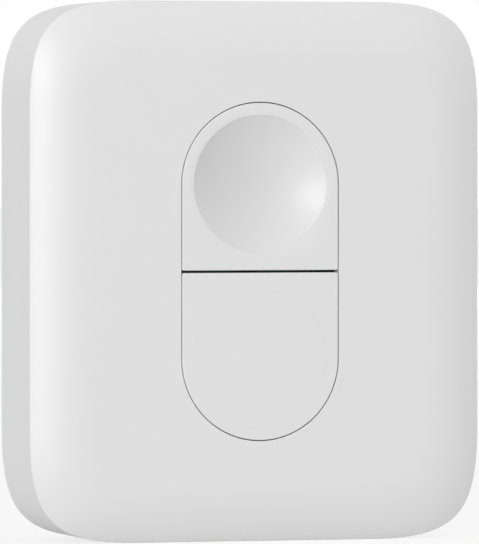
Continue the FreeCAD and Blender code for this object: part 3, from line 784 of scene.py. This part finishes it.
def painted_dish_shade():
    """A colour that darkens from a dish's rim to its middle, seen along Y: painted shade in the
    hollow.

    Inside the radius its factor is middle + (rim - middle) * distance / radius, outside one.
    """
    group, given, end = new_group(
        "painted_dish_shade", (("Colour", "Color", (0.8, 0.8, 0.8, 1.0)),
                         ("Centre", "Vector", (0.0, 0.0, 0.0)), ("Radius", "Float", 0.005),
                         ("Middle", "Float", 0.9), ("Rim", "Float", 0.95)),
        (("Colour", "Color"),))
    offset = reckoned(group, "SUBTRACT", object_place(group), given["Centre"], "VectorMath")
    level = reckoned(group, "MULTIPLY", offset, (1.0, 0.0, 1.0), "VectorMath")
    away = add_node(group, "VectorMath", {0: level}, operation="LENGTH").outputs["Value"]
    inside = stretched(group, away, (0.0, given["Radius"]), (given["Middle"], given["Rim"]))
    outside = reckoned(group, "GREATER_THAN", away, given["Radius"])
    # Painted shade: the factor is below one inside the dish and one outside it.
    shade = reckoned(group, "MAXIMUM", inside, outside)
    feed(end, {"Colour": mixed(group, shade, BLACK, given["Colour"])})
    return group


# Materials

def opaque(colour):
    """A colour with an alpha of one."""
    return (*colour, 1.0)


def new_material(name, **constants):
    """A material and its shader, whose own sockets are set to the constants."""
    material = bpy.data.materials.new(name)
    material.use_nodes = True
    shader = material.node_tree.nodes["Principled BSDF"]
    feed(shader, {label.replace("_", " "): value for label, value in constants.items()})
    return material, shader


def finish(name, grain, colour, roughness, bump, effect=None, **constants):
    """A material whose colour, roughness and relief come from a grain group.

    effect holds the group's other inputs, bump is the relief's height in metres, and the constants
    are set on the shader's own sockets.
    """
    material, shader = new_material(name, **constants)
    tree = material.node_tree
    values = {"Colour": opaque(colour), "Roughness": roughness, **(effect or {})}
    spread = add_node(tree, "Group", values, node_tree=kept_group(grain)).outputs
    relief = add_node(tree, "Bump", {"Height": spread["Height"], "Distance": bump})
    feed(shader, {"Base Color": spread["Colour"], "Roughness": spread["Roughness"],
                  "Normal": relief.outputs["Normal"]})
    return material


def white_plastic(scene, name, colour):
    """Satin white plastic with a fine moulded grain."""
    looks = scene.remote_finishes
    return finish(name, moulded_grain, colour, looks.satin, looks.grain_depth,
                  {"Cells per metre": 1.0 / looks.grain_size}, IOR=1.5)


def dished_plastic(scene):
    """The keys' plastic, with painted shade darkening the upper key's dish toward its middle."""
    looks, keys = scene.remote_finishes, scene.remote_keys
    material = white_plastic(scene, "white_satin_painted_dish_shade", looks.key_colour)
    tree = material.node_tree
    grain = next(node for node in tree.nodes if node.type == "GROUP")
    # Painted shade: the dish group darkens the key colour inside the dish.
    dish = add_node(tree, "Group",
                    {"Colour": opaque(looks.key_colour),
                     "Centre": (0.0, 0.0, MIDDLE + keys.field_straight / 2),
                     "Radius": keys.dish_radius, "Middle": looks.dish_middle,
                     "Rim": looks.dish_rim}, node_tree=kept_group(painted_dish_shade))
    feed(grain, {"Colour": dish.outputs["Colour"]})
    return material


def matt_plastic(name, colour):
    """Unpolished plastic or resin, as black housings and a frosted light have."""
    return finish(name, moulded_grain, colour, 0.5, 0.006 * MM, {"Cells per metre": 7000.0})


def window_plastic(scene):
    """Dark polished plastic that looks almost black and passes infrared."""
    return finish("window_plastic", moulded_grain, scene.remote_finishes.window_colour, 0.08,
                  0.0005 * MM, {"Cells per metre": 900.0}, IOR=1.58, Coat_Weight=0.4,
                  Coat_Roughness=0.05)


def plated_metal(name, colour, roughness):
    """Plated sheet or wire with fine streaks."""
    return finish(name, drawn_grain, colour, roughness, 0.0015 * MM, Metallic=1.0)


def fired_part(name, colour, spots, roughness):
    """Fired ceramic with soft spots."""
    return finish(name, speckle, colour, roughness, 0.003 * MM, {"Spots": opaque(spots)})


def clear_resin(name, colour):
    """Polished resin under a thin gloss."""
    return finish(name, moulded_grain, colour, 0.06, 0.0004 * MM, {"Cells per metre": 400.0},
                  IOR=1.55, Coat_Weight=0.5, Coat_Roughness=0.04)


def board_mask():
    """Green solder mask, paler and a little raised over straight copper tracks."""
    material, shader = new_material("solder_mask", Coat_Weight=0.6, Coat_Roughness=0.12)
    tree = material.node_tree
    place = object_place(tree)
    turned = add_node(tree, "Mapping", {"Vector": place, "Rotation": (math.pi / 2, 0.0, 0.0)})
    tracks = add_node(tree, "TexBrick",
                      {"Vector": turned.outputs["Vector"], "Scale": 260.0, "Mortar Size": 0.05,
                       "Mortar Smooth": 0.2, "Brick Width": 2.2, "Row Height": 0.32,
                       "Color1": BLACK, "Color2": BLACK, "Mortar": WHITE},
                      offset=0.37, squash=1.6).outputs["Color"]
    cloud = noise(tree, place, 240.0, 3.0)
    ground = mixed(tree, cloud, (0.01, 0.085, 0.035, 1.0), (0.016, 0.115, 0.048, 1.0))
    relief = add_node(tree, "Bump", {"Height": tracks, "Distance": 0.02 * MM})
    feed(shader, {"Base Color": mixed(tree, tracks, ground, (0.035, 0.19, 0.07, 1.0)),
                  "Roughness": stretched(tree, cloud, (0.2, 0.8), (0.32, 0.44)),
                  "Normal": relief.outputs["Normal"]})
    return material


def wear(piece, material):
    """Gives an object one material."""
    piece.data.materials.clear()
    piece.data.materials.append(material)


def wear_node(node, material):
    """Puts a material in a CAD node's own slots."""
    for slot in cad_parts[node].material_slots:
        slot.material = material


def of_switches(*parts):
    """Such nodes of both switches."""
    return [place + "_switch_" + part for place in PLACES for part in parts]


def flatten_dome(place):
    """Gives a switch's dome a mesh of its own."""
    press, node = place + "_button_press", place + "_switch_dome"
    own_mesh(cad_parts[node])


# The stage

def direction(turn, rise):
    """One metre from the part, turned to its left by one angle and raised by another."""
    return Vector((-math.sin(turn) * math.cos(rise), -math.cos(turn) * math.cos(rise),
                   math.sin(rise)))


def lamp(name, size, power, turn, rise):
    """A soft lamp of that width and height that faces the part, turned left and raised."""
    light = bpy.data.lights.new(name, "AREA")
    light.shape = "RECTANGLE"
    light.size, light.size_y = size
    light.energy = power
    away = direction(turn, rise)
    thing = put_in(name, light)
    thing.location = Vector((0.0, FRONT, MIDDLE)) + away * LAMP_DISTANCE
    thing.rotation_euler = away.to_track_quat("Z", "Y").to_euler()
    thing.visible_camera = False


def seen_or_mirrored(tree):
    """1 for rays from the camera, and for those that a gloss or a clear part sends on."""
    rays = add_node(tree, "LightPath").outputs
    seen = reckoned(tree, "MAXIMUM", rays["Is Camera Ray"], rays["Is Glossy Ray"])
    return reckoned(tree, "MAXIMUM", seen, rays["Is Transmission Ray"])


def bare_tree(owner):
    """The emptied node tree of a new material or world."""
    owner.use_nodes = True
    owner.node_tree.nodes.clear()
    return owner.node_tree


def choose(tree, share, light, seen, output):
    """Ends a tree with one shader as light, and another for the share that is seen."""
    choice = add_node(tree, "MixShader", {0: share, 1: light.outputs[0], 2: seen.outputs[0]})
    add_node(tree, output, {"Surface": choice.outputs[0]})


def build_world(stage):
    """Pale grey surroundings as light, plain white where the camera or a gloss sees them."""
    world = bpy.data.worlds.new("studio")
    tree = bare_tree(world)
    light = add_node(tree, "Background", {"Color": WHITE, "Strength": stage.sky})
    seen = add_node(tree, "Background", {"Color": WHITE})
    choose(tree, seen_or_mirrored(tree), light, seen, "OutputWorld")
    bpy.context.scene.world = world


def floor_material(stage):
    """Pale matt floor; the camera sees it near white, with a trace of the shadow."""
    material = bpy.data.materials.new("studio_floor")
    tree = bare_tree(material)
    seen = seen_or_mirrored(tree)
    colour = mixed(tree, seen, opaque(stage.floor_bounce), opaque(stage.floor_colour))
    choose(tree, reckoned(tree, "MULTIPLY", seen, 1.0 - stage.floor_shade),
           add_node(tree, "BsdfDiffuse", {"Color": colour}),
           add_node(tree, "Emission", {"Color": WHITE}), "OutputMaterial")
    return material


def build_floor(stage):
    """A level round floor under the part: concentric circles, closer near the part."""
    angles = np.linspace(0.0, 2 * math.pi, FLOOR_SIDES, endpoint=False)
    radii = FLOOR_RADIUS * np.linspace(0.1, 1.0, FLOOR_RINGS) ** 2
    level = np.zeros(FLOOR_SIDES)
    vertices, faces = skin([row(r * np.cos(angles), r * np.sin(angles), level) for r in radii],
                           first=[[0.0, 0.0, 0.0]])
    mesh = bpy.data.meshes.new("floor")
    mesh.from_pydata(vertices.tolist(), [], faces)
    mesh.materials.append(floor_material(stage))
    put_in("floor", mesh)


def build_camera(stage, case):
    """The photograph's camera: far back, a little to the left and just above level."""
    data = bpy.data.cameras.new("camera")
    data.lens = stage.lens
    data.sensor_width = SENSOR_WIDTH
    data.clip_start = NEAR_CLIP
    turn = stage.camera_turn
    crease = Vector((0.0, FRONT + case.crown_height, MIDDLE))
    place = crease + direction(turn, stage.camera_rise) * stage.distance
    right = Vector((math.cos(turn), -math.sin(turn), 0.0))
    aim = crease - right * stage.aim_left - Vector((0.0, 0.0, stage.aim_down))
    camera = put_in("camera", data)
    camera.location = place
    camera.rotation_euler = (place - aim).to_track_quat("Z", "Y").to_euler()
    bpy.context.scene.camera = camera


# Operators

class REMOTE_OT_front_shell(bpy.types.Operator):
    """Build the crowned white front of the case"""

    bl_idname = "remote.front_shell"
    bl_label = "Front Shell"

    def execute(self, context):
        scene = context.scene
        wear(build_front_shell(scene),
             white_plastic(scene, "white_shell_satin", scene.remote_finishes.shell_colour))
        return {"FINISHED"}


class REMOTE_OT_keys(bpy.types.Operator):
    """Build the dished upper key and the flat lower key"""

    bl_idname = "remote.keys"
    bl_label = "Keys"

    def execute(self, context):
        scene = context.scene
        plastic = white_plastic(scene, "white_key_satin", scene.remote_finishes.key_colour)
        wear(build_key(scene, "upper_button", 1, scene.remote_keys.dish_depth),
             dished_plastic(scene))
        wear(build_key(scene, "lower_button", -1, 0.0), plastic)
        return {"FINISHED"}


class REMOTE_OT_back(bpy.types.Operator):
    """Build the back cover and its round battery door"""

    bl_idname = "remote.back"
    bl_label = "Back Cover and Door"

    def execute(self, context):
        scene = context.scene
        plastic = white_plastic(scene, "white_cover_satin", scene.remote_finishes.cover_colour)
        wear(build_rear_cover(scene), plastic)
        wear(build_battery_door(scene), plastic)
        return {"FINISHED"}


class REMOTE_OT_window(bpy.types.Operator):
    """Build the infrared window in the top wall"""

    bl_idname = "remote.window"
    bl_label = "Infrared Window"

    def execute(self, context):
        wear(build_window(context.scene), window_plastic(context.scene))
        return {"FINISHED"}


class REMOTE_OT_inner_parts(bpy.types.Operator):
    """Give the pieces inside the case their materials"""

    bl_idname = "remote.inner_parts"
    bl_label = "Inner Parts"

    def execute(self, context):
        for material, nodes in (
                (plated_metal("screw_zinc", (0.6, 0.61, 0.63), 0.32), ["board_screws"]),
                (plated_metal("spring_nickel", (0.72, 0.69, 0.63), 0.26),
                 ["negative_contact", "positive_contact", "ir_emitter_leads"]
                 + of_switches("cover", "dome", "terminals")),
                (plated_metal("cell_nickel", (0.7, 0.7, 0.71), 0.2),
                 ["cell_can", "cell_cap", "radio_crystal"]),
                (matt_plastic("black_moulded", (0.022, 0.022, 0.024)),
                 ["battery_holder", "cell_gasket", "ir_driver", "radio_chip", "chip_resistors"]
                 + of_switches("base", "stem")),
                (board_mask(), ["circuit_board"]),
                (clear_resin("emitter_epoxy", (0.07, 0.06, 0.13)), ["ir_emitter"]),
                (fired_part("fired_antenna", (0.72, 0.72, 0.7), (0.6, 0.6, 0.58), 0.55),
                 ["chip_antenna"]),
                (matt_plastic("frosted_light", (0.04, 0.038, 0.032)), ["status_led"]),
                (fired_part("capacitor_ceramic", (0.45, 0.33, 0.2), (0.36, 0.25, 0.15), 0.5),
                 ["chip_capacitors"])):
            for node in nodes:
                wear_node(node, material)
        for place in PLACES:
            flatten_dome(place)
        return {"FINISHED"}


class REMOTE_OT_stage(bpy.types.Operator):
    """Set the floor, the lights, the surroundings and the camera"""

    bl_idname = "remote.stage"
    bl_label = "Stage"

    def execute(self, context):
        scene = context.scene
        stage = scene.remote_stage
        scene.view_settings.view_transform = "Standard"
        lamp("key_lamp", KEY_LAMP, stage.key_power, stage.key_turn, stage.key_rise)
        for name, (size, turn, rise), power in (("side_lamp", SIDE_LAMP, stage.side_power),
                                                ("top_lamp", TOP_LAMP, stage.top_power),
                                                ("back_lamp", BACK_LAMP, stage.back_power)):
            lamp(name, size, power, math.radians(turn), math.radians(rise))
        build_world(stage)
        build_floor(stage)
        build_camera(stage, scene.remote_case)
        return {"FINISHED"}


STEPS = (REMOTE_OT_front_shell, REMOTE_OT_keys, REMOTE_OT_back, REMOTE_OT_window,
         REMOTE_OT_inner_parts, REMOTE_OT_stage)


class REMOTE_PT_studio(bpy.types.Panel):
    """Lists the steps that dress the remote"""

    bl_label = "Remote"
    bl_space_type = "VIEW_3D"
    bl_region_type = "UI"
    bl_category = "Remote"

    def draw(self, context):
        for step in STEPS:
            self.layout.operator(step.bl_idname)


SETTINGS = {
    "remote_case": RemoteCaseSizes,
    "remote_keys": RemoteKeySizes,
    "remote_door": RemoteDoorSizes,
    "remote_finishes": RemoteFinishes,
    "remote_stage": RemoteStage,
}


def register():
    for name, group in SETTINGS.items():
        bpy.utils.register_class(group)
        setattr(bpy.types.Scene, name, PointerProperty(type=group))
    for step in STEPS + (REMOTE_PT_studio,):
        bpy.utils.register_class(step)


def unregister():
    for step in (REMOTE_PT_studio,) + STEPS[::-1]:
        bpy.utils.unregister_class(step)
    for name, group in SETTINGS.items():
        delattr(bpy.types.Scene, name)
        bpy.utils.unregister_class(group)


def main():
    """Dresses the part, step by step."""
    register()
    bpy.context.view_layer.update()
    for step in STEPS:
        group, name = step.bl_idname.split(".")
        getattr(getattr(bpy.ops, group), name)()


if __name__ == "__main__":
    main()
